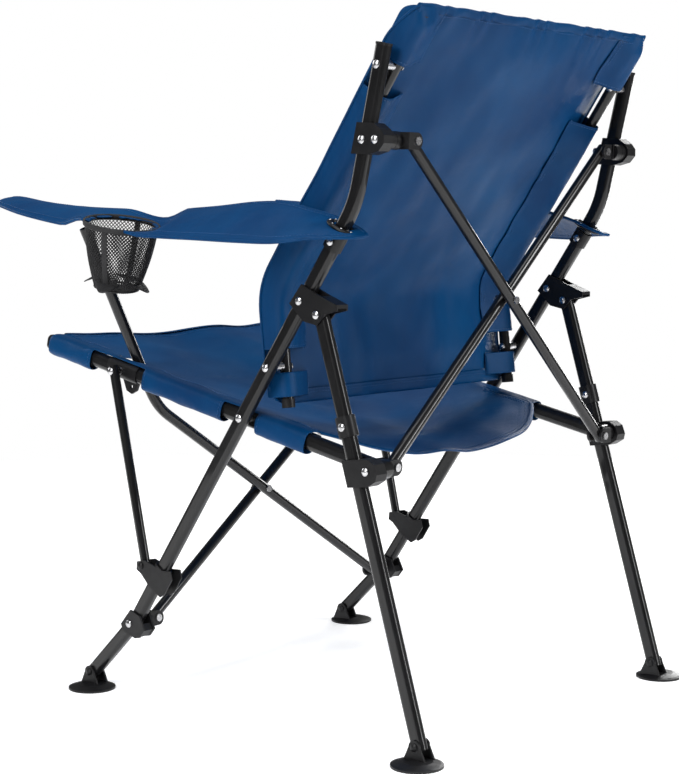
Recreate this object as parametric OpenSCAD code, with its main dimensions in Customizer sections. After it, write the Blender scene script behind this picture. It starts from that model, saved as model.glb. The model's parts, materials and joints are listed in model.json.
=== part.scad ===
// Folding camp chair. The sitter faces -Y, +X is the sitter's left, +Z is up.
// It is drawn from the point on the floor midway between the four foot pivots, then moved so that
// the origin is on the floor under the middle of its bounding box.
// Side-view points are [y, z] pairs of the left side; the right side is its mirror image.

/* [Frame tubes] */
// Width of the flattened leg tube, seen from the side
leg_w = 21; // [18:1:24]
// Thickness of the flattened leg tube, side to side
leg_t = 16; // [14:1:16]
// Distance from the middle of the chair to the leg tubes
leg_x = 295; // [295:1:300]
// Diameter of the cross tubes and of the backrest tubes
cross_d = 16; // [14:1:16]
// Wall thickness of every tube
wall = 1.3; // [1:0.1:1.6]

/* [Seat] */
// Height of the seat rail's section
rail_h = 23; // [18:1:24]
// Width of the seat rail's section
rail_t = 18; // [16:1:18]
// Thickness of the seat and back cloth with its hems
cloth_t = 3; // [2:0.5:4]

/* [Feet] */
// Diameter of a foot's flange
foot_d = 70; // [60:1:76]

/* [Cup holder] */
// Outside diameter of the cup holder's rim
cup_d = 108; // [90:1:112]
// Depth of the cup holder
cup_depth = 92; // [70:1:100]

/* [Fasteners] */
// Radius of a rivet's shank
rivet_r = 3; // [2.5:0.1:3.2]
// Radius of a rivet's domed head
head_r = 5.5; // [5:0.1:6]

/* [Hidden] */
$fn = 48;

black = "#16171a";
steel = "#b9bcc0";
blue = "#0f3f74";

// Running clearance of a pin in its bore
fit = 0.05;

// The point of the line from a to b that lies z above the floor
function on_line(a, b, z) = a + (b - a) * (z - a[1]) / (b[1] - a[1]);

// Pivots and corners of the left side, as [y, z]
front_foot = [-310, 24];
rear_foot = [308, 24];
leg_kink = [-219, 112];
leg_bend = [200, 721.6];
leg_top = [247, 922];
leg_pivot = [142, 576];       // rear leg on the bracket
rail_pivot = [-1.4, 428.5];   // seat rail on the main tube
slider_pivot = [226, 374.5];  // rail's rear end and rear cross tubes on the slider
upper_pivot = [241, 803];     // rear cross tubes on the upper collar
strut_top = [-259.5, 480];
strut_foot = [-196.7, 199.3];
front_pivot = [-222, 110];    // front cross tubes on the lower bracket
saddle_pivot = [-256.3, 455]; // front cross tubes on the seat rail's saddle
back_low = [48.4, 500.9];     // lower bolt, where the backrest tube crosses the main tube
back_high = [241, 898];       // upper bolt, where it crosses it again
stop_rivet = on_line(rear_foot, leg_pivot, 430);
slider_mid = on_line(rear_foot, leg_pivot, 368);
strut_collar_mid = on_line(leg_kink, leg_bend, 186);
arm_collar_mid = on_line(leg_kink, leg_bend, 673.5);
upper_collar_mid = on_line(leg_bend, leg_top, 803.5);
bracket_rivet = [112, 593.6];
arm_rivet = [166.5, 672.9];

back_path = [[54, 447], [38, 604], [282, 959]];
main_path = [[-318, 16.3], leg_kink, leg_bend, leg_top];
leg_lean = atan2(leg_bend[1] - leg_kink[1], leg_bend[0] - leg_kink[0]);
top_lean = atan2(leg_top[1] - leg_bend[1], leg_top[0] - leg_bend[0]);
rear_lean = atan2(leg_pivot[1] - rear_foot[1], leg_pivot[0] - rear_foot[0]);

// Lateral stations, from the middle outwards
cross_pivot_x = 244;
front_pivot_x = 250;
back_x = 262;
rail_x = 273;
leg_in = leg_x - leg_t / 2;
leg_out = leg_x + leg_t / 2;
rail_in = rail_x - rail_t / 2;
rail_out = rail_x + rail_t / 2;
strut_d = 14;
plate = 3;
plate_gap = 0.5;
cross_off = cross_d / 2 + 0.3;

// ---- Placing and drawing helpers ----

box_middle = [11.2, -63.5, 0];

module placed() translate(-box_middle) children();
module left() children();
module right() mirror([1, 0, 0]) children();

// A shape drawn as [y, z] and extruded across the chair from x0 to x1
module slab(x0, x1) translate([x0, 0, 0]) rotate([90, 0, 90]) linear_extrude(x1 - x0) children();

// A cylinder across the chair through the side-view point p
module pin(p, x0, x1, r) translate([x0, p[0], p[1]]) rotate([0, 90, 0]) cylinder(r = r, h = x1 - x0);

// A rivet's shallow domed head, outside face towards +X at x, or towards -X if dir is -1
module head(p, x, dir = 1, r = head_r) {
  translate([x, p[0], p[1]]) rotate([0, 90 * dir, 0]) {
    cylinder(r = r, h = 1.2);
    translate([0, 0, 1.2]) intersection() {
      translate([0, 0, 2 - (r * r + 4) / 4]) sphere(r = (r * r + 4) / 4);
      cylinder(r = r, h = 3);
    }
  }
}

module rounded(w, t, r) {
  square([w, t - 2 * r], center = true);
  square([w - 2 * r, t], center = true);
  for (sx = [-1, 1], sy = [-1, 1]) translate([sx * (w / 2 - r), sy * (t / 2 - r)]) circle(r = r);
}

// A tube's section; s draws its wall thinner by that much on both faces, for the ends of a bend
module tube_section(across, along, r, s = 0) {
  difference() {
    rounded(across - 2 * s, along - 2 * s, r - s);
    rounded(across - 2 * (wall - s), along - 2 * (wall - s), r - wall + s);
  }
}

module leg_section(s = 0) tube_section(leg_t, leg_w, 6.5, s);
module rail_section() tube_section(rail_t, rail_h, 8);
module round_section(s = 0) difference() {
  circle(d = cross_d - 2 * s);
  circle(d = cross_d - 2 * wall + 2 * s);
}

function heading(pts, i) = atan2(pts[i + 1][1] - pts[i][1], pts[i + 1][0] - pts[i][0]);
function turn(pts, i) = i < 0 || i > len(pts) - 3 ? 0 : heading(pts, i + 1) - heading(pts, i);
function tangent(pts, i, r) = r * tan(abs(turn(pts, i)) / 2);

// A bend laps into the straight at each of its ends
lap = 0.2;
lap_step = 0.03;

module bend(angle, r) {
  over = lap / r * 180 / PI;
  mirror([0, angle < 0 ? 1 : 0, 0]) translate([0, -r, 0]) rotate([0, 90, 0]) rotate([0, 0, 90 - over])
    rotate_extrude(angle = abs(angle) + 2 * over, $fn = 96) translate([r, 0]) rotate(90) children();
}

// A tube through side-view points; the first child is the straights' section, the second the bends'
module path_tube(pts, r) {
  for (i = [0 : len(pts) - 2]) {
    start = tangent(pts, i - 1, r);
    length = norm(pts[i + 1] - pts[i]) - start - tangent(pts, i, r);
    translate([0, pts[i][0], pts[i][1]]) rotate([heading(pts, i) - 90, 0, 0]) translate([0, 0, start]) {
      linear_extrude(length) children(0);
      if (turn(pts, i) != 0) translate([0, 0, length]) bend(turn(pts, i), r) children(1);
    }
  }
}

// A straight block along a tube: its middle p, the tube's lean, its length, and its section as child
module along(p, lean, length) {
  translate([leg_x, p[0], p[1]]) rotate([lean - 90, 0, 0]) translate([0, 0, -length / 2])
    linear_extrude(length) children();
}

module sleeve(p, lean, length, thick) {
  along(p, lean, length) difference() {
    rounded(leg_t + 2 * thick, leg_w + 2 * thick, 6.5 + thick);
    rounded(leg_t + 0.1, leg_w + 0.1, 6.5);
  }
}

module leg_space(p, lean, length) along(p, lean, length) rounded(leg_t + 0.1, leg_w + 0.1, 6.5);

// ---- Side frames ----

// The two plates of a bracket or a foot, one on each side of a leg tube
module plates() for (x = [leg_in - plate_gap - plate, leg_out + plate_gap]) slab(x, x + plate) children();

// A shank with a domed head on its outer end, and on its inner end too if both is true
module rivet(p, x0, x1, both = true) {
  pin(p, x0, x1, rivet_r);
  head(p, x1);
  if (both) head(p, x0, -1);
}

module bore(p) pin(p, back_x - 10, leg_out + 10, rivet_r + fit);

main_bores = [
  front_foot, front_pivot, rail_pivot, bracket_rivet, back_low, back_high, upper_collar_mid, arm_rivet
];

module main_tube() color(black) difference() {
  translate([leg_x, 0, 0]) path_tube(main_path, 140) {
    leg_section();
    leg_section(lap_step);
  }
  for (p = main_bores) bore(p);
}

module backrest_tube() color(black) difference() {
  translate([back_x, 0, 0]) path_tube(back_path, 80) {
    round_section();
    round_section(lap_step);
  }
  for (p = [back_low, back_high]) bore(p);
}
module tube_caps() color(black) {
  translate([leg_x, leg_top[0], leg_top[1]]) rotate([top_lean - 90, 0, 0]) linear_extrude(3)
    rounded(leg_t + 1, leg_w + 1, 6.5);
  translate([back_x, back_path[2][0], back_path[2][1]]) rotate([heading(back_path, 1) - 90, 0, 0])
    cylinder(d = cross_d + 1, h = 3);
  translate([back_x, back_path[0][0], back_path[0][1]]) rotate([heading(back_path, 0) + 90, 0, 0]) {
    cylinder(d = cross_d + 2.5, h = 3);
    translate([0, 0, -9]) difference() {
      cylinder(d = cross_d + 2.5, h = 9);
      translate([0, 0, -1]) cylinder(d = cross_d + 0.1, h = 11);
    }
  }
}

module arm_collar() color(black) difference() {
  sleeve(arm_collar_mid, leg_lean, 24, 2.6);
  bore(arm_rivet);
}

bracket_outline = [
  [116, 616], [95, 590], [119, 567], [143, 562], [157, 577], [178, 582], [178, 590], [147, 602]
];

module leg_bracket() color(black) difference() {
  union() {
    plates() polygon(bracket_outline);
    slab(leg_in - 1, leg_out + 1) polygon([[151, 600.5], [178, 590], [178, 585], [151, 595.5]]);
  }
  for (p = [bracket_rivet, leg_pivot]) bore(p);
}

collar_outline = [
  [201.4, 786], [211, 826], [239, 824], [250, 816], [256, 808], [256, 798], [247, 788], [230, 784]
];

module upper_collar() color(black) difference() {
  union() {
    slab(leg_in - plate, leg_out + plate) polygon(collar_outline);
    pin(upper_pivot, leg_in - 12.6, leg_in - 2, 12);
  }
  leg_space(upper_collar_mid, top_lean, 80);
  for (p = [upper_pivot, upper_collar_mid]) bore(p);
}

lower_outline = [[-219, 131], [-239, 108], [-236, 99], [-210, 90], [-200, 92], [-190, 104], [-200, 124]];

module lower_bracket() color(black) difference() {
  union() {
    plates() polygon(lower_outline);
    slab(leg_in - 1, leg_out + 1)
      polygon([[-206, 92.5], [-200, 93], [-192, 103], [-198, 112], [-201, 110], [-197, 103], [-202, 97]]);
    pin(front_pivot, leg_in - 9, leg_in - 1, 9);
  }
  leg_space(leg_kink, 49.8, 60);
  bore(front_pivot);
}

module frame_rivets() color(steel) {
  rivet(front_pivot, 264.4, leg_out + 3.6, false);
  rivet(upper_pivot, 258, leg_out + 3.1, false);
  rivet(rail_pivot, rail_in - 0.1, leg_out + 0.1);
  pin(rail_pivot, rail_out + 0.2, leg_in - 0.1, 7);
  for (p = [bracket_rivet, leg_pivot]) rivet(p, leg_in - 3.6, leg_out + 3.6);
  for (p = [upper_collar_mid, arm_rivet]) rivet(p, leg_in - 3.1, leg_out + 3.1);
  for (p = [back_low, back_high]) {
    rivet(p, back_x - 8.1, leg_out + 0.1);
    pin(p, back_x + 8.1, leg_in - 0.1, 6);
  }
}

// ---- Rear legs and sliders ----

function beyond(a, b, d) = a + (a - b) * d / norm(a - b);

module rear_leg() color(black) difference() {
  translate([leg_x, 0, 0])
    path_tube([beyond(rear_foot, leg_pivot, 6), beyond(leg_pivot, rear_foot, 9)], 0) leg_section();
  for (p = [rear_foot, leg_pivot, stop_rivet]) bore(p);
}

module stop_collar() color(black) difference() {
  sleeve(stop_rivet, rear_lean, 28, plate);
  bore(stop_rivet);
}

module rear_leg_rivets() color(steel) rivet(stop_rivet, leg_in - 3.1, leg_out + 3.1);

slider_outline = [
  [185.2, 386], [195.6, 351], [230, 355], [243, 363], [245, 372], [240, 385], [230, 391], [217, 390]
];

module rear_slider() color(black) difference() {
  slab(leg_in - plate, leg_out + plate) polygon(slider_outline);
  leg_space(slider_mid, rear_lean, 80);
  bore(slider_pivot);
}

module slider_rivet() color(steel) rivet(slider_pivot, leg_in - 2.8, leg_out + 3.1, false);

// ---- Seat rails, struts and their sliding collars ----

rail_front = beyond(strut_top, slider_pivot, 162);
barrel_r = 13;
barrel_bore = 9;
rail_path = [beyond(slider_pivot, strut_top, -barrel_bore - 2), rail_front];
rail_rise = heading(rail_path, 0) - 90;

module rail_tube() difference() {
  translate([rail_x, 0, 0]) path_tube(rail_path, 0) rail_section();
  for (p = [strut_top, rail_pivot]) bore(p);
}

// The round end is a cup, open towards the slider
module rail_barrel() difference() {
  pin(slider_pivot, rail_x - 11, rail_out - 0.4, barrel_r);
  pin(slider_pivot, rail_x - 8, rail_out + 1, barrel_bore);
}

module seat_rail() color(black) {
  rail_tube();
  rail_barrel();
  translate([rail_x, rail_front[0], rail_front[1]]) rotate([rail_rise, 0, 0]) translate([0, 0, 0.02])
    linear_extrude(5) rounded(rail_t - 1, rail_h - 1, 7);
}

saddle_mid = [-257, 479.5];

module rail_saddle() color(black) difference() {
  union() {
    translate([rail_x, saddle_mid[0], saddle_mid[1]]) rotate([rail_rise, 0, 0])
      translate([0, 0, -31]) linear_extrude(62) rounded(rail_t + 3.6, rail_h + 3.6, 9.8);
    slab(260, rail_in - 0.1)
      polygon([[-267, 449], [-256.3, 444], [-246, 449], [-236, 470], [-236, 480], [-278, 488], [-278, 476]]);
  }
  translate([rail_x, saddle_mid[0], saddle_mid[1]]) rotate([rail_rise, 0, 0])
    translate([0, 0, -40]) linear_extrude(80) rounded(rail_t + 0.1, rail_h + 0.1, 8);
  for (p = [strut_top, saddle_pivot]) bore(p);
}

module strut() color(black) difference() {
  translate([leg_x, 0, 0]) path_tube([beyond(strut_foot, strut_top, 8), beyond(strut_top, strut_foot, 8)], 0)
    difference() {
      circle(d = strut_d);
      circle(d = strut_d - 2 * wall);
    }
  for (p = [strut_top, strut_foot]) bore(p);
}

module strut_rivet() color(steel) {
  rivet(strut_top, 262.2, leg_x + strut_d / 2 + 0.2, false);
  pin(strut_top, rail_out + 2.1, leg_x - strut_d / 2 - 0.2, 6);
}

ear_outline = [
  [-204, 205], [-205, 193], [-196, 188], [-178, 170], [-157, 158], [-148, 163], [-133, 186],
  [-136, 198], [-155, 197], [-171, 203], [-188, 208]
];

module strut_collar() {
  collar_body();
  ear_studs();
}

module collar_body() color(black) difference() {
  union() {
    sleeve(strut_collar_mid, leg_lean, 36, plate);
    for (x = [leg_in - plate, leg_out + 0.6]) slab(x, x + plate - 0.6) polygon(ear_outline);
  }
  leg_space(strut_collar_mid, leg_lean, 80);
  bore(strut_foot);
}

// The two studs stop short of the strut between them
module ear_studs() color(steel) {
  rivet(strut_foot, leg_out + 0.4, leg_out + 3.1, false);
  pin(strut_foot, leg_in - 3.1, leg_in - 0.3, rivet_r);
}

// ---- Cross tubes and their knuckles ----

// Places a shape in a cross tube's plane: +X across, +Y rearwards off the plane, +Z up along it
module plane_at(p, tilt) translate([0, p[0], p[1]]) rotate([tilt, 0, 0]) children();

rear_tilt = atan2(slider_pivot[0] - upper_pivot[0], upper_pivot[1] - slider_pivot[1]);
front_tilt = 5.68;
rear_span = norm(upper_pivot - slider_pivot);
front_path = [[-256.7, -4.4], [223, 313.5], [338.6, 581.5]];
front_rise = 250 * tan(heading(front_path, 0));

// A tube in the plane, on its rear side if side is 1 and on its front side if it is -1
module plane_tube(pts, r, side) rotate([0, 0, -90]) translate([-side * cross_off, 0, 0])
  path_tube(pts, r) {
    round_section();
    round_section(lap_step);
  }

module plane_pin(x, z, y0, y1, r) translate([x, y1, z]) rotate([90, 0, 0]) cylinder(r = r, h = y1 - y0);

module plane_bolt(x, z, y0, y1) {
  plane_pin(x, z, y0, y1, rivet_r);
  plane_pin(x, z, y1, y1 + 2, head_r);
  plane_pin(x, z, y0 - 2, y0, head_r);
}

// The knuckle of one tube end; side says which side of the plane its tube is on, ears how many ears it has
module knuckle(x, wall_x, wall_t, side, ears) {
  mirror([0, side < 0 ? 1 : 0, 0]) difference() {
    union() {
      translate([wall_x, -6, -11]) cube([wall_t, ears == 2 ? 27.2 : 12, 22]);
      for (y = ears == 2 ? [-0.3, 21.2] : [-0.3]) translate([0, y, 0]) rotate([90, 0, 0]) linear_extrude(4) {
        translate([x, 0]) circle(r = 11);
        translate([x, -11]) square([wall_x + 1 - x, 22]);
      }
    }
    plane_pin(x, 0, -30, 30, rivet_r + fit);
  }
}

module swivel(x0, x1, r) rotate([0, 90, 0]) translate([0, 0, x0]) cylinder(r = r, h = x1 - x0);

module rear_cross_tube(side) color(black) plane_at(slider_pivot, rear_tilt) difference() {
  plane_tube([
    beyond([-cross_pivot_x, 0], [cross_pivot_x, rear_span], 8),
    beyond([cross_pivot_x, rear_span], [-cross_pivot_x, 0], 8)
  ], 0, side);
  for (p = [[-cross_pivot_x, 0], [0, rear_span / 2], [cross_pivot_x, rear_span]])
    plane_pin(p[0], p[1], -30, 30, rivet_r + fit);
}

module rear_cross_tube_a() rear_cross_tube(1);
module rear_cross_tube_b() mirror([1, 0, 0]) rear_cross_tube(-1);

module rear_cross_bolts_a() color(steel) plane_at(slider_pivot, rear_tilt) {
  plane_bolt(-cross_pivot_x, 0, -4.5, 21.4);
  plane_bolt(0, rear_span / 2, -16.5, 16.5);
  plane_bolt(cross_pivot_x, rear_span, -4.5, 21.4);
}

module rear_cross_bolts_b() color(steel) plane_at(slider_pivot, rear_tilt) {
  plane_bolt(cross_pivot_x, 0, -21.4, 4.5);
  plane_bolt(-cross_pivot_x, rear_span, -16.5, 4.5);
}

// Left lower end to right post is a, on the front side; right lower end to left post is b
module front_cross_tube(side) color(black) plane_at(front_pivot, front_tilt) difference() {
  plane_tube(front_path, 90, side);
  for (p = [[-front_pivot_x, 0], [0, front_rise]]) plane_pin(p[0], p[1], -30, 30, rivet_r + fit);
}

module front_cross_tube_a() mirror([1, 0, 0]) front_cross_tube(-1);
module front_cross_tube_b() front_cross_tube(1);

module front_cross_bolts_a() color(steel) plane_at(front_pivot, front_tilt) {
  plane_bolt(front_pivot_x, 0, -21.4, 4.5);
  plane_pin(0, front_rise, -16.5, -0.3, rivet_r);
  plane_pin(0, front_rise, -18.5, -16.5, head_r);
}

module front_cross_bolts_b() color(steel) plane_at(front_pivot, front_tilt) {
  plane_bolt(-front_pivot_x, 0, -4.5, 21.4);
  plane_pin(0, front_rise, 0.3, 16.5, rivet_r);
  plane_pin(0, front_rise, 16.5, 18.5, head_r);
}

module upper_knuckle(side, ears) color(black) plane_at(upper_pivot, rear_tilt) difference() {
  union() {
    knuckle(cross_pivot_x, 256, 6, side, ears);
    swivel(260, 273.8, 12);
  }
  swivel(257.6, 280, rivet_r + fit);
}

module left_upper_knuckle() upper_knuckle(1, 2);
module right_upper_knuckle() mirror([1, 0, 0]) upper_knuckle(-1, 1);
module slider_knuckle(side) color(black)
  plane_at(slider_pivot, rear_tilt) knuckle(cross_pivot_x, 256, 5.4, side, 2);
module left_slider_knuckle() slider_knuckle(-1);
module right_slider_knuckle() mirror([1, 0, 0]) slider_knuckle(1);

module front_knuckle(side) color(black) plane_at(front_pivot, front_tilt) difference() {
  union() {
    knuckle(front_pivot_x, 262, 5.4, side, 2);
    swivel(266, leg_in - 9.6, 10);
  }
  swivel(264, leg_in, rivet_r + fit);
}

module left_front_knuckle() front_knuckle(-1);
module right_front_knuckle() mirror([1, 0, 0]) front_knuckle(1);

// ---- Feet ----

module foot(p) color(black) {
  difference() {
    union() {
      translate([305, p[0] + (p[0] > 0 ? 4 : 5), 0]) rotate_extrude()
        polygon([
          [0, 0], [foot_d / 2, 0], [foot_d / 2, 3], [foot_d / 2 - 4, 4.5], [foot_d / 2 - 14, 7], [0, 8]
        ]);
      plates() {
        translate(p) circle(r = 9);
        polygon([[p[0] - 9, p[1]], [p[0] + 9, p[1]], [p[0] + 18, 5], [p[0] - 18, 5]]);
      }
    }
    bore(p);
  }
  color(steel) rivet(p, leg_in - 3.6, leg_out + 3.6);
}

// ---- Cloth ----

arm_slope = 20;
arm_top = [[-474, 736], [-346, 720], [-156, 715], [60, 725], [112, 714.5], [212, 678.1]];
cup_mid = [356, -175, 694];

// A strip that follows the top line pts, cloth_t thick
module strip(x0, x1, pts, thick = cloth_t)
  slab(x0, x1) polygon([each pts, for (i = [len(pts) - 1 : -1 : 0]) pts[i] - [0, thick]]);

module cup_space(d, h) translate(cup_mid) rotate([0, 8, 0]) translate([0, 0, -h]) cylinder(d = d, h = 2 * h);

module armrest() color(blue) difference() {
  union() {
    translate([290, 0, 720]) rotate([0, arm_slope, 0]) translate([0, 0, -720])
      strip(0, 98, [for (i = [0 : 3]) arm_top[i]]);
    strip(276, 316, [[30, 721.5], arm_top[4], arm_top[5]]);
  }
  cup_space(cup_d + 1.4, 60);
  translate([leg_in - 2, 152, 660]) cube([leg_t + 4, 48, 60]);
}

module cup_holder() color(black) translate(cup_mid) rotate([0, 8, 0]) rotate_extrude() polygon([
  [0, -cup_depth], [31, -cup_depth], [cup_d / 2 - 4, -4], [cup_d / 2, -4], [cup_d / 2, 4],
  [cup_d / 2 - 6, 4], [cup_d / 2 - 6, -4], [29, -cup_depth + 2], [0, -cup_depth + 2]
]);

seat_top = [[-412, 519], [-1.4, 437.5], [178, 395]];

module seat_sling() color(blue) difference() {
  strip(-258, 258, seat_top);
  for (x = [-300, 222]) translate([x, -304, 440]) cube([78, 94, 100]);
}

// Between the backrest tubes, and closed over their tops
back_line = [[51, 478], [38, 604], [282, 959]];

module back_panel() color(blue) {
  slab(-249, 249) polygon([each back_line, for (i = [2 : -1 : 0]) back_line[i] - [cloth_t, -1]]);
  slab(-285, 285) polygon([[284, 966.5], [288, 974], [285, 974], [278, 966.5]]);
  slab(-249, 249) polygon([[281, 956], [286, 970], [283, 970], [278, 956]]);
}

placed() left() main_tube();  // left_main_tube
placed() right() main_tube();  // right_main_tube
placed() left() backrest_tube();  // left_backrest_tube
placed() right() backrest_tube();  // right_backrest_tube
placed() left() arm_collar();  // left_arm_collar
placed() right() arm_collar();  // right_arm_collar
placed() left() leg_bracket();  // left_leg_bracket
placed() right() leg_bracket();  // right_leg_bracket
placed() left() upper_collar();  // left_upper_collar
placed() right() upper_collar();  // right_upper_collar
placed() left() lower_bracket();  // left_lower_bracket
placed() right() lower_bracket();  // right_lower_bracket
placed() left() frame_rivets();  // left_frame_rivets
placed() right() frame_rivets();  // right_frame_rivets
placed() left() tube_caps();  // left_tube_caps
placed() right() tube_caps();  // right_tube_caps
placed() left() rear_leg();  // left_rear_leg
placed() right() rear_leg();  // right_rear_leg
placed() left() stop_collar();  // left_stop_collar
placed() right() stop_collar();  // right_stop_collar
placed() left() rear_leg_rivets();  // left_rear_leg_rivets
placed() right() rear_leg_rivets();  // right_rear_leg_rivets
placed() left() rear_slider();  // left_rear_slider
placed() right() rear_slider();  // right_rear_slider
placed() left() slider_rivet();  // left_slider_rivet
placed() right() slider_rivet();  // right_slider_rivet
placed() left() seat_rail();  // left_seat_rail
placed() right() seat_rail();  // right_seat_rail
placed() left() rail_saddle();  // left_rail_saddle
placed() right() rail_saddle();  // right_rail_saddle
placed() left() strut();  // left_strut
placed() right() strut();  // right_strut
placed() left() strut_rivet();  // left_strut_rivet
placed() right() strut_rivet();  // right_strut_rivet
placed() left() strut_collar();  // left_strut_collar
placed() right() strut_collar();  // right_strut_collar
placed() left() foot(front_foot);  // left_front_foot
placed() right() foot(front_foot);  // right_front_foot
placed() left() foot(rear_foot);  // left_rear_foot
placed() right() foot(rear_foot);  // right_rear_foot
placed() left() armrest();  // left_armrest
placed() right() armrest();  // right_armrest
placed() left_upper_knuckle();
placed() right_upper_knuckle();
placed() left_slider_knuckle();
placed() right_slider_knuckle();
placed() left_front_knuckle();
placed() right_front_knuckle();
placed() rear_cross_tube_a();
placed() rear_cross_tube_b();
placed() rear_cross_bolts_a();
placed() rear_cross_bolts_b();
placed() front_cross_tube_a();
placed() front_cross_tube_b();
placed() front_cross_bolts_a();
placed() front_cross_bolts_b();
placed() cup_holder();
placed() seat_sling();
placed() back_panel();
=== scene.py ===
# Folding camp chair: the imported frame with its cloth, cup holder, materials, light and camera.
import json
import math

import bmesh
import bpy
from mathutils import Matrix, Vector, noise


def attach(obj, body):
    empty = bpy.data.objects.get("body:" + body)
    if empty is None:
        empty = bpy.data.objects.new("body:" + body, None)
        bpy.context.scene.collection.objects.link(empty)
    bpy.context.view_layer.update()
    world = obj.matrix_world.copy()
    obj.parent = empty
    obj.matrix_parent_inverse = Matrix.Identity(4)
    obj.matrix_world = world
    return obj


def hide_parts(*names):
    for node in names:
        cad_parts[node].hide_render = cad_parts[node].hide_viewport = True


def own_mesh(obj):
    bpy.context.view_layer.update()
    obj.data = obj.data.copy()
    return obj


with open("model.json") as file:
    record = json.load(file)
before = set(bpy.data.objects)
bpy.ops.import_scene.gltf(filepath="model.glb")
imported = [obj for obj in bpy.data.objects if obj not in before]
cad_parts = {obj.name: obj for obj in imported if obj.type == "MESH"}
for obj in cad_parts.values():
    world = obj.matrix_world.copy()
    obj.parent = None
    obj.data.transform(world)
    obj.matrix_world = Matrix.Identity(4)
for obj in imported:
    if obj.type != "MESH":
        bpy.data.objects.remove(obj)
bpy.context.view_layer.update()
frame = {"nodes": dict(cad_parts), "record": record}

MM = 0.001
# Shapes are written in millimetres from the floor point midway between the feet
SHIFT = Vector((-11.2, 63.5, 0.0))


def at(p):
    return (Vector(p) + SHIFT) * MM


# ---- Materials ----


class Nodes:
    """A material's node tree, with short calls for the few nodes that the materials use."""

    def __init__(self, name):
        self.material = bpy.data.materials.new(name)
        self.material.use_nodes = True
        self.tree = self.material.node_tree
        self.shader = self.tree.nodes["Principled BSDF"]
        self.place = self.add("ShaderNodeTexCoord").outputs["Object"]

    def add(self, kind, **settings):
        node = self.tree.nodes.new(kind)
        for key, value in settings.items():
            setattr(node, key, value)
        return node

    def link(self, a, b):
        self.tree.links.new(a, b)

    def stretched(self, scale, turn=(0, 0, 0)):
        node = self.add("ShaderNodeMapping")
        node.inputs["Scale"].default_value = scale
        node.inputs["Rotation"].default_value = turn
        self.link(self.place, node.inputs["Vector"])
        return node.outputs["Vector"]

    def noise(self, scale, detail=3.0, vector=None, rough=0.5):
        node = self.add("ShaderNodeTexNoise")
        node.inputs["Scale"].default_value = scale
        node.inputs["Detail"].default_value = detail
        node.inputs["Roughness"].default_value = rough
        self.link(vector or self.place, node.inputs["Vector"])
        return node.outputs["Fac"]

    def ramp(self, value, low, high, a=0.3, b=0.7):
        node = self.add("ShaderNodeValToRGB")
        node.color_ramp.elements[0].position = a
        node.color_ramp.elements[1].position = b
        node.color_ramp.elements[0].color = (*low, 1)
        node.color_ramp.elements[1].color = (*high, 1)
        self.link(value, node.inputs["Fac"])
        return node.outputs["Color"]

    def range(self, value, low, high):
        node = self.add("ShaderNodeMapRange")
        node.inputs["To Min"].default_value = low
        node.inputs["To Max"].default_value = high
        self.link(value, node.inputs["Value"])
        return node.outputs["Result"]

    def math(self, operation, a, b):
        node = self.add("ShaderNodeMath", operation=operation)
        for socket, value in zip(node.inputs, (a, b)):
            if isinstance(value, (int, float)):
                socket.default_value = value
            else:
                self.link(value, socket)
        return node.outputs["Value"]

    def bump(self, height, strength, distance, under=None):
        node = self.add("ShaderNodeBump")
        node.inputs["Strength"].default_value = strength
        node.inputs["Distance"].default_value = distance
        self.link(height, node.inputs["Height"])
        if under:
            self.link(under, node.inputs["Normal"])
        return node.outputs["Normal"]

    def set(self, **values):
        for key, value in values.items():
            self.shader.inputs[key.replace("_", " ")].default_value = value

    def plug(self, name, output):
        self.link(output, self.shader.inputs[name])


def powder_coat():
    m = Nodes("powder coat")
    m.plug("Base Color", m.ramp(m.noise(18), (0.0045, 0.0045, 0.005), (0.0085, 0.0085, 0.0095)))
    m.plug("Roughness", m.range(m.noise(55, 4), 0.3, 0.45))
    m.set(Specular_IOR_Level=0.15, Coat_Weight=0.8, Coat_IOR=1.4, Coat_Roughness=0.05)
    m.plug("Normal", m.bump(m.noise(900, 2), 0.12, 0.0004))
    return m.material


def moulded_plastic():
    m = Nodes("moulded plastic")
    m.plug("Base Color", m.ramp(m.noise(25, 5), (0.005, 0.005, 0.006), (0.012, 0.012, 0.013)))
    m.plug("Roughness", m.range(m.noise(70, 5), 0.3, 0.5))
    m.set(Specular_IOR_Level=0.3)
    grain = m.bump(m.noise(1400, 3), 0.25, 0.0003)
    m.plug("Normal", m.bump(m.noise(120, 2), 0.15, 0.0008, grain))
    return m.material


def bright_steel():
    m = Nodes("bright steel")
    m.set(Metallic=1.0)
    m.plug("Base Color", m.ramp(m.noise(220), (0.42, 0.42, 0.43), (0.72, 0.72, 0.74)))
    m.plug("Roughness", m.range(m.noise(300, 4), 0.18, 0.38))
    m.plug("Normal", m.bump(m.noise(700, 3), 0.2, 0.0002))
    return m.material


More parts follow.
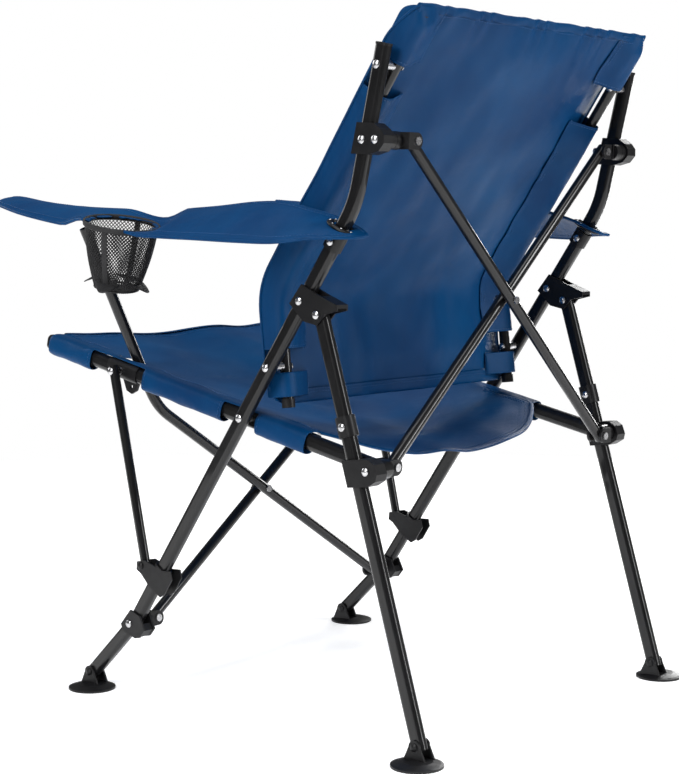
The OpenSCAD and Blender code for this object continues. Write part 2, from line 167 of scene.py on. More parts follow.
def coated_cloth(name, along, base, lit):
    """Coated polyester: a fine plain weave under a satin coating that creases, with painted shade and
    sheen in its colour.

    along says how much the y and z axes count in the weft's length.
    """
    m = Nodes(name)
    split = m.add("ShaderNodeSeparateXYZ")
    m.link(m.place, split.inputs["Vector"])
    x, y, z = split.outputs
    length = m.math("ADD", m.math("MULTIPLY", y, along[0]), m.math("MULTIPLY", z, along[1]))
    warp = m.math("SINE", m.math("MULTIPLY", x, THREADS), 0)
    weft = m.math("SINE", m.math("MULTIPLY", length, THREADS), 0)
    weave = m.math("MULTIPLY", warp, weft)
    creases = m.noise(9, 5, m.stretched((1.0, 2.2, 0.55), (0.5, 0.6, 0.3)), 0.55)
    patches = m.noise(4.5, 3, m.stretched((1, 1, 0.6), (0.3, 0, 0.5)))
    # Random tone patches mixed with painted sheen where the crease noise is high; this sets the colour
    # between the shaded and the lit blue (painted shade and highlight), and the roughness
    tone_and_sheen = m.math("ADD", m.math("MULTIPLY", patches, 0.65), m.math("MULTIPLY", creases, 0.35))
    colour = m.add("ShaderNodeMix", data_type="RGBA", blend_type="MULTIPLY")
    colour.inputs["Factor"].default_value = 0.3
    m.link(m.ramp(tone_and_sheen, base, lit, 0.36, 0.66), colour.inputs[6])
    m.link(m.ramp(m.range(weave, 0, 1), (0.72, 0.72, 0.72), (1, 1, 1), 0, 1), colour.inputs[7])
    m.plug("Base Color", colour.outputs[2])
    m.plug("Roughness", m.range(tone_and_sheen, 0.58, 0.28))
    m.set(Sheen_Weight=0.03, Sheen_Roughness=0.4, Sheen_Tint=(0.1, 0.35, 1.0, 1.0))
    m.set(Specular_IOR_Level=0.13)
    fine = m.bump(weave, 0.22, 0.0003)
    m.plug("Normal", m.bump(creases, 0.35, 0.006, fine))
    return m.material


def webbing():
    m = Nodes("black binding")
    wave = m.add("ShaderNodeTexWave", wave_type="BANDS", bands_direction="DIAGONAL")
    wave.inputs["Scale"].default_value = 420
    m.link(m.place, wave.inputs["Vector"])
    m.plug("Base Color", m.ramp(m.noise(60), (0.006, 0.006, 0.007), (0.014, 0.014, 0.016)))
    m.plug("Roughness", m.range(m.noise(90), 0.55, 0.8))
    m.plug("Normal", m.bump(wave.outputs["Fac"], 0.5, 0.0006))
    return m.material


def thread():
    m = Nodes("blue thread")
    m.plug("Base Color", m.ramp(m.noise(300), (0.008, 0.06, 0.19), (0.02, 0.11, 0.3)))
    m.plug("Roughness", m.range(m.noise(400), 0.45, 0.65))
    m.plug("Normal", m.bump(m.noise(2500), 0.3, 0.0003))
    return m.material


THREADS = 2 * math.pi / 0.0016
# The cloth's blue in shade and in light; the cloth colour is painted between the two, which paints shade
# and sheen into it
SHADED_BLUE = (0.0, 0.036, 0.128)
LIT_BLUE = (0.0004, 0.064, 0.195)
coat, plastic, steel = powder_coat(), moulded_plastic(), bright_steel()
back_blue = coated_cloth("back cloth", (0.5, 1.0), SHADED_BLUE, LIT_BLUE)
seat_blue = coated_cloth("seat cloth", (1.0, -0.2), SHADED_BLUE, LIT_BLUE)
black_web, blue_thread = webbing(), thread()

finishes = {"frame": coat, "plastic": plastic, "rivets": steel, "cloth": seat_blue, "mesh": black_web}
for part in frame["record"]["subparts"]:
    node = frame["nodes"][part["node"]]
    for place in node.material_slots:
        place.material = finishes[part["material_slot"]]


# ---- Mesh builders ----


def new_object(name, bm, material):
    mesh = bpy.data.meshes.new(name)
    bmesh.ops.recalc_face_normals(bm, faces=bm.faces)
    bm.to_mesh(mesh)
    bm.free()
    for face in mesh.polygons:
        face.use_smooth = True
    mesh.materials.append(material)
    made = bpy.data.objects.new(name, mesh)
    bpy.context.collection.objects.link(made)
    return made


def sheet_piece(name, rows, material, thick=1.6, keep=None):
    """A cloth through rows of points; keep(i, j) says which cells of it stay."""
    bm = bmesh.new()
    grid = [[bm.verts.new(at(p)) for p in row] for row in rows]
    for i in range(len(rows) - 1):
        for j in range(len(rows[0]) - 1):
            if keep is None or keep(i, j):
                bm.faces.new((grid[i][j], grid[i + 1][j], grid[i + 1][j + 1], grid[i][j + 1]))
    bmesh.ops.delete(bm, geom=[v for v in bm.verts if not v.link_faces], context="VERTS")
    made = new_object(name, bm, material)
    solid = made.modifiers.new("thickness", "SOLIDIFY")
    solid.thickness = thick * MM
    solid.offset = 0
    smooth = made.modifiers.new("smooth", "SUBSURF")
    smooth.levels = smooth.render_levels = 1
    return made


def swept(name, points, radius, material, sides=8):
    """A round cord through points, in millimetres, closed at both ends."""
    bm = bmesh.new()
    line = [Vector(p) for p in points]
    rings = []
    side = None
    for i, p in enumerate(line):
        ahead = (line[min(i + 1, len(line) - 1)] - line[max(i - 1, 0)]).normalized()
        if side is None:
            side = ahead.orthogonal().normalized()
        side = (side - ahead * side.dot(ahead)).normalized()
        other = ahead.cross(side)
        turns = [2 * math.pi * k / sides for k in range(sides)]
        rings.append([
            bm.verts.new(at(p + side * radius * math.cos(a) + other * radius * math.sin(a)))
            for a in turns
        ])
    for a, b in zip(rings, rings[1:]):
        for k in range(sides):
            n = (k + 1) % sides
            bm.faces.new((a[k], a[n], b[n], b[k]))
    bm.faces.new(rings[0])
    bm.faces.new(rings[-1])
    return new_object(name, bm, material)


def stitches(name, lines, material, pitch=5.0, long=3.4, radius=0.45):
    """Rows of stitches along lines of (point, normal) pairs."""
    bm = bmesh.new()
    for line in lines:
        spent = 0.0
        for (p, n), (q, _) in zip(line, line[1:]):
            p, q, n = Vector(p), Vector(q), Vector(n).normalized()
            step = (q - p).length
            while spent < step and step > 0:
                ahead = (q - p).normalized()
                middle = p + ahead * spent
                side = ahead.cross(n).normalized()
                rings = []
                for along, r in ((-0.5, 0.3), (-0.3, 1), (0.3, 1), (0.5, 0.3)):
                    rings.append([
                        bm.verts.new(at(
                            middle + ahead * along * long
                            + (side * math.cos(a) + n * math.sin(a)) * r * radius
                        ))
                        for a in [2 * math.pi * k / 5 for k in range(5)]
                    ])
                for a, b in zip(rings, rings[1:]):
                    for k in range(5):
                        bm.faces.new((a[k], a[(k + 1) % 5], b[(k + 1) % 5], b[k]))
                bm.faces.new(rings[0])
                bm.faces.new(rings[-1])
                spent += pitch
            spent -= step
    return new_object(name, bm, material)


def between(a, b, t):
    return a + (b - a) * t


def curve_through(table, t):
    """Smooth interpolation in a table of rows of numbers, t from 0 to 1 along its whole length."""
    place = max(0.0, min(1.0, t)) * (len(table) - 1)
    i = min(int(place), len(table) - 2)
    f = place - i
    rows = [table[max(i - 1, 0)], table[i], table[i + 1], table[min(i + 2, len(table) - 1)]]
    return [
        0.5 * (
            2 * b + (c - a) * f
            + (2 * a - 5 * b + 4 * c - d) * f * f
            + (3 * b - a - 3 * c + d) * f ** 3
        )
        for a, b, c, d in zip(*rows)
    ]


def ruffle(x, y, z, size):
    return noise.noise(Vector((x, y, z)) / size)


# ---- Back ----

# The backrest tube's middle line, from its foot to its top, and on to the top hem
TUBE_X = 262.0
TUBE_FOOT, TUBE_BEND, TUBE_TOP = Vector((54, 447)), Vector((38, 604)), Vector((282, 959))
LOW = (TUBE_BEND - TUBE_FOOT).length
HIGH = (TUBE_TOP - TUBE_BEND).length
HEM = LOW + HIGH + 14
EASE = 28.0
# The seam that closes a sleeve, where the sleeve begins to lift the cloth, and how far it reaches
SEAM_X, SLEEVE_X, SLEEVE_REACH = 212, 215, 61
# The length over which the cloth flattens into its hems
HEM_FADE = 60


def tube_line(s):
    """The tube's middle at a length s from its foot, with its way up and its way forward."""
    first, second = (TUBE_BEND - TUBE_FOOT).normalized(), (TUBE_TOP - TUBE_BEND).normalized()
    t = max(0.0, min(1.0, (s - LOW + EASE) / (2 * EASE)))
    up = first.lerp(second, t).normalized()
    if s < LOW - EASE:
        p = TUBE_FOOT + first * s
    elif s > LOW + EASE:
        p = TUBE_BEND + second * (s - LOW)
    else:
        a, b = TUBE_BEND - first * EASE, TUBE_BEND + second * EASE
        p = a * (1 - t) ** 2 + TUBE_BEND * 2 * t * (1 - t) + b * t ** 2
    return p, up, Vector((-up[1], up[0]))


def back_point(x, s, forward):
    p, _, front = tube_line(s)
    q = p + front * forward
    return Vector((x, q[0], q[1]))


def back_face(x, s):
    """How far in front of the tubes' line the main layer lies."""
    across = abs(x) / TUBE_X
    inner = -9 + 17 * min(1.0, across / 0.82) ** 2
    edge = max(0.0, (abs(x) - SLEEVE_X) / SLEEVE_REACH)
    lift = inner + 16 * edge ** 1.4
    top = max(0.0, (s - HEM + HEM_FADE) / HEM_FADE)
    bottom = max(0.0, (HEM_FADE - s) / HEM_FADE)
    lift = between(lift, 3.0, top ** 1.5)
    lift = between(lift, 9.0, 0.7 * bottom)
    slack = 1 - top
    diagonal = math.sin((0.9 * x + s) / 34 + 2.4 * ruffle(x, s, 3, 190))
    folds = 2.6 * diagonal * (0.35 + max(0.0, ruffle(x, s, 11, 150)) * 2.2)
    soft = 9.0 * ruffle(x * 0.8, s * 0.45, 7, 95) + 3.6 * ruffle(x, s * 0.5, 29, 38)
    pucker = 0.7 * math.sin(s / 8.5 + 3 * ruffle(x, s, 5, 60))
    pucker *= math.exp(-((abs(x) - SEAM_X) / 22) ** 2)
    gather = 2.6 * top * math.sin(x / 6.5 + 5 * ruffle(x, 0, 2, 70))
    quiet = (1 - 0.75 * min(1.0, edge * 1.3)) * (1 - 0.85 * math.exp(-((abs(x) - SEAM_X) / 20) ** 2))
    return lift + (folds + soft) * slack * quiet + pucker * slack + gather


EDGE_X = 276.0
ROUND = 24.0


def back_width(s):
    """Half the cloth's width, with its lower corners rounded."""
    if s > ROUND:
        return EDGE_X
    return EDGE_X - ROUND + math.sqrt(max(0.0, ROUND ** 2 - (ROUND - s) ** 2))


BACK_ROWS, BACK_COLUMNS = 88, 96
HEM_START = 3.0
stations = [HEM_START + (HEM - HEM_START) * i / BACK_ROWS for i in range(BACK_ROWS + 1)]


def back_row(s):
    half = back_width(s - HEM_START)
    xs = [half * (2 * j / BACK_COLUMNS - 1) for j in range(BACK_COLUMNS + 1)]
    return [back_point(x, s, back_face(x, s)) for x in xs]


back = sheet_piece("back_cloth", [back_row(s) for s in stations], back_blue, 1.6)

# A sleeve's way round the tube: (distance out from the middle, distance in front of the tube's line)
WRAP = [
    (210, 6.2), (222, 1.5), (236, -4.5), (248, -9.5), (257, -12.0), (265, -12.0), (271.5, -8.5),
    (274.5, -2), (275.6, 6), (276.2, 14), (276.6, 20), (276.4, 23.4)
]


def wrapped(side, s0, s1, inner, loose, shut=0.0, rows=30):
    """Rows of a sleeve from s0 to s1; shut closes it onto the main layer towards s1."""
    made = []
    for i in range(rows + 1):
        s = between(s0, s1, i / rows)
        closing = max(0.0, (s - (s1 - shut)) / shut) ** 2 if shut else 0.0
        row = []
        for k in range(2 * len(WRAP) - 1):
            x, f = curve_through(WRAP, k / (2 * len(WRAP) - 2))
            x = max(x, inner)
            wave = ruffle(x * 2, s, side * 40, 26) * loose
            pucker = 0.5 * math.sin(s / 7 + x / 16 + 3 * ruffle(x, s, 9, 50))
            wave += pucker * math.exp(-((x - 216) / 14) ** 2)
            fade = 1 - max(0.0, (x - 270) / 7)
            f += wave * max(0.0, fade)
            if x < SLEEVE_X:
                f = back_face(side * x, s) - 2.6 + 0.4 * wave
            f = between(f, back_face(side * x, s) - 2.2, closing)
            row.append(back_point(side * x, s, f))
        made.append(row)
    return made


# Lengths up the tubes: where the sleeves begin and end, where the top pockets begin, and the loops.
# The left side is 1 and the right side is -1.
SLEEVE = (78.0, {1: 474.0, -1: 452.0})
POCKET = {1: 521.0, -1: 517.0}
LOOP = (12, 46)
# Straight out of the back's rear face
BEHIND = (0, 1, -0.3)
back_parts = []
for side, word in ((1, "left"), (-1, "right")):
    low, high = SLEEVE[0], SLEEVE[1][side]
    sleeve = sheet_piece(f"{word}_back_sleeve", wrapped(side, low, high, 210, 1.6, rows=90), back_blue)
    pocket = sheet_piece(
        f"{word}_back_pocket", wrapped(side, POCKET[side], HEM, 210, 1.8, 26, 34), back_blue
    )
    loop = sheet_piece(f"{word}_back_loop", wrapped(side, *LOOP, 214, 1.0, rows=12), back_blue, 2.2)
    back_parts += [sleeve, pocket, loop]
    edge = [
        back_point(side * (back_width(s - HEM_START) + 0.8), s, back_face(side * EDGE_X, s))
        for s in stations
    ]
    back_parts.append(swept(f"{word}_back_piping", edge, 2.1, back_blue))
    seams = []
    for a, b in ((low, high), (POCKET[side], HEM - 6), (13, 45)):
        for x in (213, 219):
            seams.append([
                (back_point(side * x, s, back_face(side * x, s) - (3.9 if x < SLEEVE_X else 5.6)), BEHIND)
                for s in [between(a, b, i / 60) for i in range(61)]
            ])
    for s in (low + 4, high - 4, POCKET[side] + 4):
        row = wrapped(side, s, s + 0.01, 210, 1.6, rows=1)[0][1:16]
        seams.append([(p + Vector((side * 0.2, 1.2, -0.3)), BEHIND) for p in row])
    back_parts.append(stitches(f"{word}_back_stitches", seams, blue_thread))

hem_rows = []
for k in range(9):
    turn = math.pi * (k / 8 - 0.5)
    out, held = math.cos(turn), 1 - math.cos(turn) * 0.4
    hem_rows.append([
        back_point(
            x,
            HEM - 9 + 11.5 * out,
            3.0 + 3.2 * math.sin(turn) + 1.2 * ruffle(x, k, 6, 22)
            + 2.4 * math.sin(x / 6.5 + 5 * ruffle(x, 0, 2, 70)) * held,
        )
        for x in [-277 + 554 * j / 150 for j in range(151)]
    ])
back_parts.append(sheet_piece("back_top_hem", hem_rows, back_blue, 1.4))
low_rows = [
    [back_point(x, s, back_face(x, s) + lift) for x in [-250 + 500 * j / 80 for j in range(81)]]
    for s, lift in ((22, -2.4), (12, -2.8), (4, -2.6), (1.4, 0), (4, 2.6), (12, 2.8), (22, 2.4))
]
back_parts.append(sheet_piece("back_low_hem", low_rows, back_blue, 1.2))
hem_lines = [
    [(back_point(x, s, back_face(x, s) - 4.0), BEHIND) for x in range(-248, 249, 4)]
    for s in (19, 15)
]
hem_lines.append([
    (back_point(x, HEM - 10, -1.6 + 1.6 * math.sin(x / 9 + 4 * ruffle(x, 0, 2, 80))), BEHIND)
    for x in range(-272, 273, 4)
])
back_parts.append(stitches("back_hem_stitches", hem_lines, blue_thread))

# ---- Seat ----

RAIL_REAR, RAIL_SLOPE = Vector((226, 374.5)), 0.2173
# Where the cloth between the rails ends, and its height over the rails' line
RAIL_INNER, RAIL_TOP = 256, 12.2
SEAT_SAG = 34
SEAT_FRONT = -414.0
SADDLE_GAP, TUBE_GAP = (-322.0, -212.0), (-52.0, 12.0)


def seat_rear(x):
    return 98 + 78 * (1 - min(1.0, abs(x) / 262) ** 3)


def rail_point(x, y, h):
    """A point h above the rails' middle line, square to it."""
    lean = math.atan(RAIL_SLOPE)
    z = RAIL_REAR[1] + (RAIL_REAR[0] - y) * RAIL_SLOPE
    return Vector((x, y + h * math.sin(lean), z + h * math.cos(lean)))


# The cloth over and round a rail: (distance from the middle, height over the rail's line)
RAIL_WRAP = [
    (RAIL_INNER, RAIL_TOP), (264, 13.4), (272, 14.0), (279, 13.0), (283.6, 9), (285.2, 2),
    (285.4, -6), (284, -12.5), (278, -16.5), (270, -16.5), (263.5, -13), (261, -6), (257, 1), (250, 6.5)
]
INNER_COLUMNS = 84


def seat_drop(x, y):
    across = 1 - min(1.0, abs(x) / RAIL_INNER) ** 2
    along = (1 - 0.3 * ((y + 60) / 320) ** 2) * (0.2 + 0.8 * min(1.0, (y - SEAT_FRONT) / 200) ** 0.8)
    tension = 1.6 * math.sin(y / 15 + x / 60 + 3 * ruffle(x, y, 4, 90))
    tension *= math.exp(-(RAIL_INNER - abs(x)) / 38)
    soft = 7.0 * ruffle(x, y * 0.6, 3, 120) + 3.4 * ruffle(x * 0.7, y, 8, 48)
    return SEAT_SAG * across * along - (soft * across + tension)


def seat_top(x, y, up=1.2):
    return rail_point(x, y, RAIL_TOP - seat_drop(x, y) + up)


def seat_place(x, t):
    """Where row t lies: behind the main tubes the rows spread out to the curved rear edge."""
    return t if t <= TUBE_GAP[1] else between(TUBE_GAP[1], seat_rear(x), (t - TUBE_GAP[1]) / 100)


def seat_row(t):
    row = []
    for j in range(INNER_COLUMNS + 1):
        x = RAIL_INNER * (2 * j / INNER_COLUMNS - 1)
        row.append(seat_top(x, seat_place(x, t), 0))
    y = seat_place(RAIL_INNER, t)
    side = []
    for k in range(1, 2 * len(RAIL_WRAP) - 1):
        x, h = curve_through(RAIL_WRAP, k / (2 * len(RAIL_WRAP) - 2))
        puff = 1.3 * ruffle(k * 7, y, 3, 30)
        if h > 8 and SADDLE_GAP[0] - 8 < y < SADDLE_GAP[1] + 8:
            h += 1.8
        side.append((x + (puff if x > 262 else 0), y, h - (puff if h < 0 else 0)))
    left = [rail_point(x, y, h) for x, y, h in side]
    right = [rail_point(-x, y, h) for x, y, h in reversed(side)]
    return right + row + left


seat_steps = [SEAT_FRONT + (SADDLE_GAP[0] - SEAT_FRONT) * i / 14 for i in range(14)]
seat_steps += [between(*SADDLE_GAP, i / 14) for i in range(14)]
seat_steps += [between(SADDLE_GAP[1], TUBE_GAP[0], i / 20) for i in range(20)]
seat_steps += [between(*TUBE_GAP, i / 8) for i in range(8)]
seat_steps += [TUBE_GAP[1] + 100 * i / 22 for i in range(23)]
WRAP_COLUMNS = 2 * len(RAIL_WRAP) - 2
TOP_COLUMNS = 6
POST_SLIT = (-280.0, -240.0)


def seat_keep(i, j):
    """Which cells of the seat stay.

    The rail's outer side and underside are bare at the saddle and at the main tube, and an armrest
    post passes through a slit.
    """
    y = (seat_steps[i] + seat_steps[i + 1]) / 2
    last = 2 * WRAP_COLUMNS + INNER_COLUMNS - 1
    out = min(j, last - j)  # columns in from the nearer side
    if POST_SLIT[0] < y < POST_SLIT[1] and WRAP_COLUMNS - 3 <= out < WRAP_COLUMNS + 3:
        return False
    if SADDLE_GAP[0] < y < SADDLE_GAP[1] or TUBE_GAP[0] < y < TUBE_GAP[1]:
        return out >= WRAP_COLUMNS - TOP_COLUMNS
    return True


seat_rows = [seat_row(t) for t in seat_steps]
INNER_END = WRAP_COLUMNS + INNER_COLUMNS
seat = sheet_piece(
    "seat_cloth", [row[WRAP_COLUMNS:INNER_END + 1] for row in seat_rows], seat_blue, 1.6,
    lambda i, j: seat_keep(i, j + WRAP_COLUMNS)
)
right_wrap = sheet_piece(
    "right_seat_sleeve", [row[:WRAP_COLUMNS + 1] for row in seat_rows], seat_blue, 1.6, seat_keep
)
left_wrap = sheet_piece(
    "left_seat_sleeve", [row[INNER_END:] for row in seat_rows], seat_blue, 1.6,
    lambda i, j: seat_keep(i, j + INNER_END)
)

ABOVE = (0, 0.2, 1)
seat_lines = []
for side in (1, -1):
    for a, b in ((SEAT_FRONT + 4, SADDLE_GAP[0] - 4), (SADDLE_GAP[1] + 4, TUBE_GAP[0] - 3), (18, 92)):
        for x in (244, 249):
            seat_lines.append([(seat_top(side * x, between(a, b, i / 40)), ABOVE) for i in range(41)])
    for y in (SADDLE_GAP[0] - 5, SADDLE_GAP[1] + 5, TUBE_GAP[0] - 5, TUBE_GAP[1] + 5):
        ring = [curve_through(RAIL_WRAP, k / 60) for k in range(4, 40)]
        seat_lines.append([
            (rail_point(side * (x + 0.9), y, h + (0.9 if h > 12 else 0)), (side, 0, 0)) for x, h in ring
        ])
for inset in (8, 14):
    seat_lines.append([(seat_top(x, SEAT_FRONT + inset), ABOVE) for x in range(-250, 251, 4)])
    for up, way in ((1.2, ABOVE), (-1.3, (0, 0.2, -1))):
        seat_lines.append([
            (seat_top(x, seat_rear(x) - inset, up), way) for x in range(-244, 245, 4)
        ])
seat_thread = stitches("seat_stitches", seat_lines, blue_thread)


def hem_strip(name, y_at, way):
    rows = []
    for k in range(9):
        turn = 2 * math.pi * k / 16 + math.pi / 2
        reach, up = way * (7 + 8.6 * math.cos(turn)), 1.9 * math.sin(turn)
        rows.append([
            rail_point(x, y_at(x) + reach, RAIL_TOP - seat_drop(x, y_at(x)) + up)
            for x in [-RAIL_INNER + 2 * RAIL_INNER * j / 84 for j in range(85)]
        ])
    return sheet_piece(name, rows, seat_blue, 1.0)


front_hem = hem_strip("seat_front_hem", lambda x: SEAT_FRONT, 1)
rear_hem = hem_strip("seat_rear_hem", seat_rear, -1)

# ---- Armrests ----

# Inner and outer edges from the front end to the strap behind the main tube: (x, y, z)
ARM_INNER = [
    (300, -474, 735), (291, -460, 734), (289, -400, 725), (288, -330, 719), (288, -240, 715.5),
    (288, -156, 714), (288, -60, 718), (288, 20, 724), (284, 70, 723), (279, 118, 713),
    (276, 165, 700), (276, 194, 688), (283, 210, 681)
]
ARM_OUTER = [
    (326, -474, 727), (345, -462, 726), (372, -412, 720), (386, -350, 709), (388, -268, 696),
    (388, -180, 686), (385, -90, 679), (380, -10, 676), (372, 60, 673), (362, 115, 672),
    (344, 158, 677), (326, 192, 678), (308, 209, 678)
]
# The middle of the cup holder's rim, how far it leans out and back, the hole's radius, and how far
# from the middle the cloth is drawn down to the rim
CUP_MIDDLE = Vector((356, -175, 694))
CUP_LEAN, CUP_FALL = math.radians(4), math.radians(-12)
HOLE, RIM_REACH = 52.5, 96.0


def cup_plane(p):
    """The height of the cup holder's rim over or under a point."""
    out = p - CUP_MIDDLE
    return CUP_MIDDLE[2] - out[0] * math.tan(CUP_LEAN) + out[1] * math.tan(CUP_FALL)


ARM_ROWS, ARM_COLUMNS = 132, 26
# The main tube where it passes through the strap, and how steeply it rises there
TUBE_SIDE, TUBE_BACK, TUBE_HEIGHT, TUBE_RISE = 295, 200, 721.6, 1.455


def arm_point(side, across, t, up=0.0):
    a, b = Vector(curve_through(ARM_INNER, t)), Vector(curve_through(ARM_OUTER, t))
    p = a.lerp(b, across)
    crown = 5.5 * math.sin(math.pi * across) * min(1.0, 6 * (1 - t), 8 * t)
    wave = 2.2 * ruffle(p[0], p[1] * 0.5, 4 * side, 55) + 1.0 * ruffle(p[0], p[1], side, 22)
    edge = min(across, 1 - across)
    wave *= min(1.0, edge * 5)
    p[2] += crown + wave + up
    if side > 0:
        out = p - CUP_MIDDLE
        reach = out.xy.length
        near = max(0.0, min(1.0, (RIM_REACH - reach) / (RIM_REACH - HOLE)))
        p[2] = between(p[2], cup_plane(p) + 1.0 + up, near * near * (3 - 2 * near))
        if HOLE - 8 < reach < HOLE + 1:
            p[0] = CUP_MIDDLE[0] + out[0] / reach * HOLE
            p[1] = CUP_MIDDLE[1] + out[1] / reach * HOLE
    return Vector((side * p[0], p[1], p[2]))


def arm_cell_stays(side):
    def keep(i, j):
        p = arm_point(side, (j + 0.5) / ARM_COLUMNS, (i + 0.5) / ARM_ROWS)
        if side > 0 and (p - CUP_MIDDLE).xy.length < HOLE - 1.5:
            return False
        # the main tube passes through the strap
        middle = TUBE_BACK + (p[2] - TUBE_HEIGHT) / TUBE_RISE
        return not (abs(abs(p[0]) - TUBE_SIDE) < 10.5 and abs(p[1] - middle) < 15.5)
    return keep


def arm_edge(side):
    """The armrest's outline as a closed line of points."""
    n = 90
    line = [arm_point(side, 0, i / n) for i in range(n + 1)]
    line += [arm_point(side, k / 8, 1) for k in range(1, 8)]
    line += [arm_point(side, 1, 1 - i / n) for i in range(n + 1)]
    line += [arm_point(side, 1 - k / 4, 0) for k in range(1, 5)]
    return line


def ring_round_tube(name, side):
    """The black eyelet that the main tube passes through, with its small rivets."""
    around = 40
    middle = Vector((295, 178.5, 690.5))
    flat_y = Vector((0, 0.90, -0.435))
    up = Vector((0, 0.435, 0.90))
    rows = []
    for inner, z in ((0, -2.6), (0.5, -3.0), (1, -1.5), (1, 1.5), (0.5, 3.2), (0, 2.8)):
        row = []
        for k in range(around):
            a = 2 * math.pi * k / around
            wide, long = between(10.6, 18.5, inner), between(16.5, 25.5, inner)
            p = middle + Vector((wide * math.cos(a), 0, 0)) + flat_y * long * math.sin(a) + up * z
            row.append((side * p[0], p[1], p[2]))
        rows.append(row)
    bm = bmesh.new()
    grid = [[bm.verts.new(at(p)) for p in row] for row in rows]
    for i in range(len(rows)):
        for j in range(around):
            n, k = (i + 1) % len(rows), (j + 1) % around
            bm.faces.new((grid[i][j], grid[n][j], grid[n][k], grid[i][k]))
    ring = new_object(name, bm, plastic)
    smooth = ring.modifiers.new("smooth", "SUBSURF")
    smooth.levels = smooth.render_levels = 1
    dots = bmesh.new()
    for k in range(8):
        a = 2 * math.pi * (k + 0.5) / 8
        p = middle + Vector((14.6 * math.cos(a), 0, 0)) + flat_y * 21 * math.sin(a) + up * 3.0
        spot = Matrix.Translation(at((side * p[0], p[1], p[2]))) @ Matrix.Diagonal((1, 1, 0.6, 1))
        bmesh.ops.create_uvsphere(dots, u_segments=12, v_segments=8, radius=0.0017, matrix=spot)
    return ring, new_object(name + "_rivets", dots, steel)


arms = {}
for side, word in ((1, "left"), (-1, "right")):
    rows = [
        [arm_point(side, j / ARM_COLUMNS, i / ARM_ROWS) for j in range(ARM_COLUMNS + 1)]
        for i in range(ARM_ROWS + 1)
    ]
    cloth = sheet_piece(f"{word}_armrest_cloth", rows, seat_blue, 3.0, arm_cell_stays(side))
    border = arm_edge(side)
    inside = [side > 0 and (p - CUP_MIDDLE).xy.length < HOLE for p in border]
    gap_start = inside.index(True) if True in inside else 0
    gap_end = len(inside) - inside[::-1].index(True) if True in inside else 0
    piping = swept(f"{word}_armrest_piping", border[gap_end:] + border[:gap_start or 1], 2.4, seat_blue)
    lines = []
    for across, top in ((0.09, 1), (0.91, 1), (0.09, -1), (0.91, -1)):
        line = [(arm_point(side, across, i / 150, 2.0 * top), (0, 0, top)) for i in range(3, 146)]
        clear = [(p - CUP_MIDDLE).xy.length > HOLE + 2 or side < 0 for p, _ in line]
        first = clear.index(False) if False in clear else len(line)
        last = len(line) - clear[::-1].index(False) if False in clear else len(line)
        lines += [part for part in (line[:first], line[last:]) if len(part) > 1]
    thread_rows = stitches(f"{word}_armrest_stitches", lines, blue_thread)
    ring, dots = ring_round_tube(f"{word}_armrest_eyelet", side)
    arms[word] = (cloth, [piping, thread_rows, ring, dots])

# ---- Cup holder ----

CUP_TOP, CUP_LOW, CUP_DEPTH = 53.0, 31.0, 90.0
BAND_WIDTH, BAND_OUT = 9, 1.2
CUP_TILT = Matrix.Rotation(CUP_LEAN, 3, "Y") @ Matrix.Rotation(CUP_FALL, 3, "X")


def cup_point(radius, turn, z):
    return CUP_MIDDLE + CUP_TILT @ Vector((radius * math.cos(turn), radius * math.sin(turn), z))


def cup_wall(depth):
    """The net's radius at a depth, a little bellied."""
    t = depth / CUP_DEPTH
    return between(CUP_TOP - 2, CUP_LOW, t) + 3.0 * math.sin(math.pi * t)


def cup_net():
    bm = bmesh.new()
    around, steps, floor_steps = 60, 34, 9
    rows = []
    for i in range(steps + floor_steps + 1):
        depth = min(i, steps) * CUP_DEPTH / steps
        radius = cup_wall(depth)
        sink = 0.0
        if i > steps:
            radius *= 1 - (i - steps) / (floor_steps + 0.6)
            sink = 2.0
        shift = 0.5 * (i % 2)
        rows.append([
            bm.verts.new(at(cup_point(radius, 2 * math.pi * (k + shift) / around, -depth - sink)))
            for k in range(around)
        ])
    for i in range(len(rows) - 2):
        for k in range(around):
            side = k if i % 2 else k - 1
            near, far = rows[i + 1][side], rows[i + 1][(side + 1) % around]
            bm.faces.new((rows[i][k], near, rows[i + 2][k], far))
    net = new_object("cup_net", bm, black_web)
    wire = net.modifiers.new("threads", "WIREFRAME")
    wire.thickness = 0.0019
    wire.use_even_offset = False
    return net


def cup_band(name, turn):
    rows = []
    for i in range(15):
        depth = CUP_DEPTH * i / 14
        radius = cup_wall(depth) + BAND_OUT
        half = BAND_WIDTH / 2 / radius
        rows.append([cup_point(radius, turn + half * k, -depth) for k in (-1, -0.5, 0, 0.5, 1)])
    return sheet_piece(name, rows, black_web, 1.4)


def cup_ring(name, z, radius, height, thick):
    rows = []
    for i in range(8):
        a = 2 * math.pi * i / 8
        rows.append([
            cup_point(radius + thick * math.cos(a), 2 * math.pi * k / 64, z + height * math.sin(a))
            for k in range(64)
        ])
    bm = bmesh.new()
    grid = [[bm.verts.new(at(p)) for p in row] for row in rows]
    for i in range(8):
        for k in range(64):
            n, m = (i + 1) % 8, (k + 1) % 64
            bm.faces.new((grid[i][k], grid[n][k], grid[n][m], grid[i][m]))
    return new_object(name, bm, black_web)


def cup_tab(name, turn):
    """A small triangular tab of binding at the foot of a band."""
    rows = []
    for i in range(5):
        t = i / 4
        half = between(20, 2, t) / 2 / CUP_LOW
        rows.append([
            cup_point(CUP_LOW + 2 + 16 * t, turn + half * k * 2, -CUP_DEPTH + 12 - 12 * t)
            for k in (-1, -0.5, 0, 0.5, 1)
        ])
    return sheet_piece(name, rows, black_web, 1.8)


net = cup_net()
cup_parts = [
    cup_ring("cup_rim", 0, CUP_TOP, 4.2, 1.6),
    cup_ring("cup_base_band", -CUP_DEPTH, CUP_LOW + 0.4, 1.6, 1.3),
]
for number, degrees in enumerate((20, 115, 200, 295)):
    cup_parts.append(cup_band(f"cup_band_{number}", math.radians(degrees)))
    cup_parts.append(cup_tab(f"cup_tab_{number}", math.radians(degrees)))
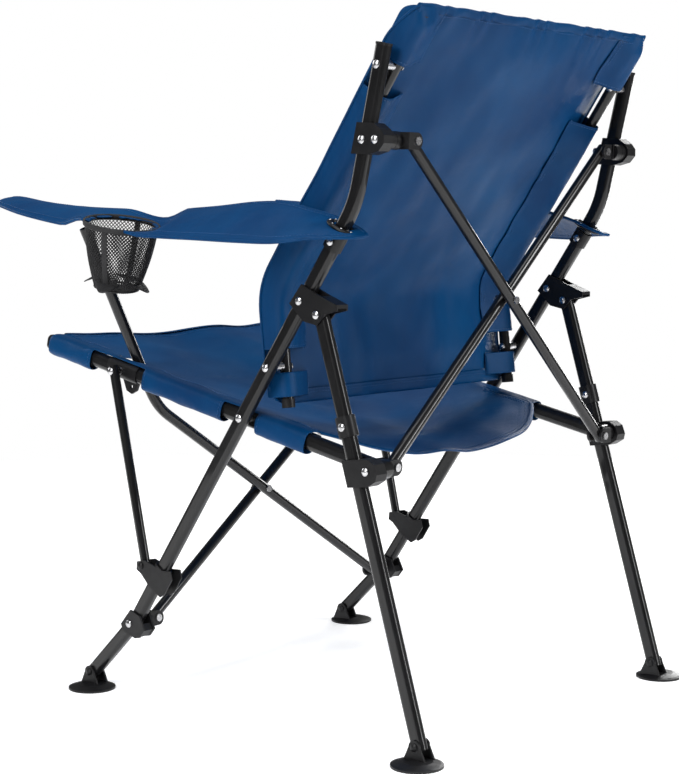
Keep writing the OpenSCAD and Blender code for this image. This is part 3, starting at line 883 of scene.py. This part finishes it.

# ---- What each piece rides on, and the imported parts that are hidden in its place ----

for piece in [back, *back_parts]:
    if piece.name.startswith("right"):
        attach(piece, "right_frame")
    else:
        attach(piece, "left_frame")
    if not piece.name.startswith(("right", "left")):
        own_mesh(piece)
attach(right_wrap, "right_rail_body")
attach(left_wrap, "left_rail_body")
for piece in (seat, seat_thread, front_hem, rear_hem):
    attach(piece, "left_rail_body")
    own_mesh(piece)
for word, (cloth, extras) in arms.items():
    piping, thread_rows, ring, dots = extras
    for piece in (cloth, *extras):
        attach(piece, f"{word}_arm_body")
    for piece in (cloth, piping, thread_rows):
        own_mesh(piece)
for piece in [net, *cup_parts]:
    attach(piece, "left_arm_body")
    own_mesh(piece)

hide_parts("back_panel")
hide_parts("seat_sling")
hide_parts("left_armrest")
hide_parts("right_armrest")
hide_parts("cup_holder")

# ---- Floor, light, camera ----

FLOOR_RADIUS = 2.7
# How bright the room round the chair is, where the camera's own background is 1
ROOM = 0.1


def floor():
    bm = bmesh.new()
    bmesh.ops.create_circle(bm, cap_ends=True, segments=96, radius=FLOOR_RADIUS)
    plane = new_object("floor", bm, pale_floor())


def pale_floor():
    m = Nodes("pale floor")
    m.plug("Base Color", m.ramp(m.noise(2), (0.93, 0.93, 0.93), (0.96, 0.96, 0.96)))
    m.set(Roughness=0.9, Emission_Color=(1, 1, 1, 1), Emission_Strength=0.45)
    return m.material


def area_light(name, place, target, size, power):
    data = bpy.data.lights.new(name, "AREA")
    data.shape = "RECTANGLE"
    data.size, data.size_y = size
    data.energy = power
    light = bpy.data.objects.new(name, data)
    bpy.context.collection.objects.link(light)
    light.location = place
    light.rotation_euler = (Vector(target) - Vector(place)).to_track_quat("-Z", "Y").to_euler()


floor()
MIDDLE = (0, 0.05, 0.5)
area_light("key", (3.3, 0.2, 2.3), MIDDLE, (0.5, 2.4), 78)
area_light("rear strip", (-1.3, 3.4, 1.7), MIDDLE, (0.5, 2.6), 74)
area_light("top", (0.3, 0.4, 3.2), MIDDLE, (2.2, 1.6), 48)
area_light("far strip", (-2.9, -0.6, 1.5), MIDDLE, (0.5, 2.6), 46)
area_light("front", (0.6, -3.4, 2.0), MIDDLE, (1.2, 2.0), 30)

world = bpy.data.worlds.new("studio")
world.use_nodes = True
bpy.context.scene.world = world
shade = world.node_tree.nodes["Background"]
shade.inputs["Color"].default_value = (1, 1, 1, 1)
# White behind the chair, and a dimmer room round it
seen = world.node_tree.nodes.new("ShaderNodeLightPath")
level = world.node_tree.nodes.new("ShaderNodeMapRange")
level.inputs["To Min"].default_value = ROOM
level.inputs["To Max"].default_value = 1.0
world.node_tree.links.new(seen.outputs["Is Camera Ray"], level.inputs["Value"])
world.node_tree.links.new(level.outputs["Result"], shade.inputs["Strength"])

AZIMUTH, ELEVATION = math.radians(130.1015), math.radians(5.2065)
CAMERA_PLACE, LENS = (2.11578, 1.77939, 0.70), 84.93
back_way = Vector((
    math.sin(AZIMUTH) * math.cos(ELEVATION),
    -math.cos(AZIMUTH) * math.cos(ELEVATION),
    math.sin(ELEVATION),
))
lens = bpy.data.cameras.new("camera")
lens.lens = LENS
lens.clip_end = 100
camera = bpy.data.objects.new("camera", lens)
bpy.context.collection.objects.link(camera)
camera.location = CAMERA_PLACE
camera.rotation_euler = (-back_way).to_track_quat("-Z", "Y").to_euler()
bpy.context.scene.camera = camera
bpy.context.scene.view_settings.view_transform = "Standard"
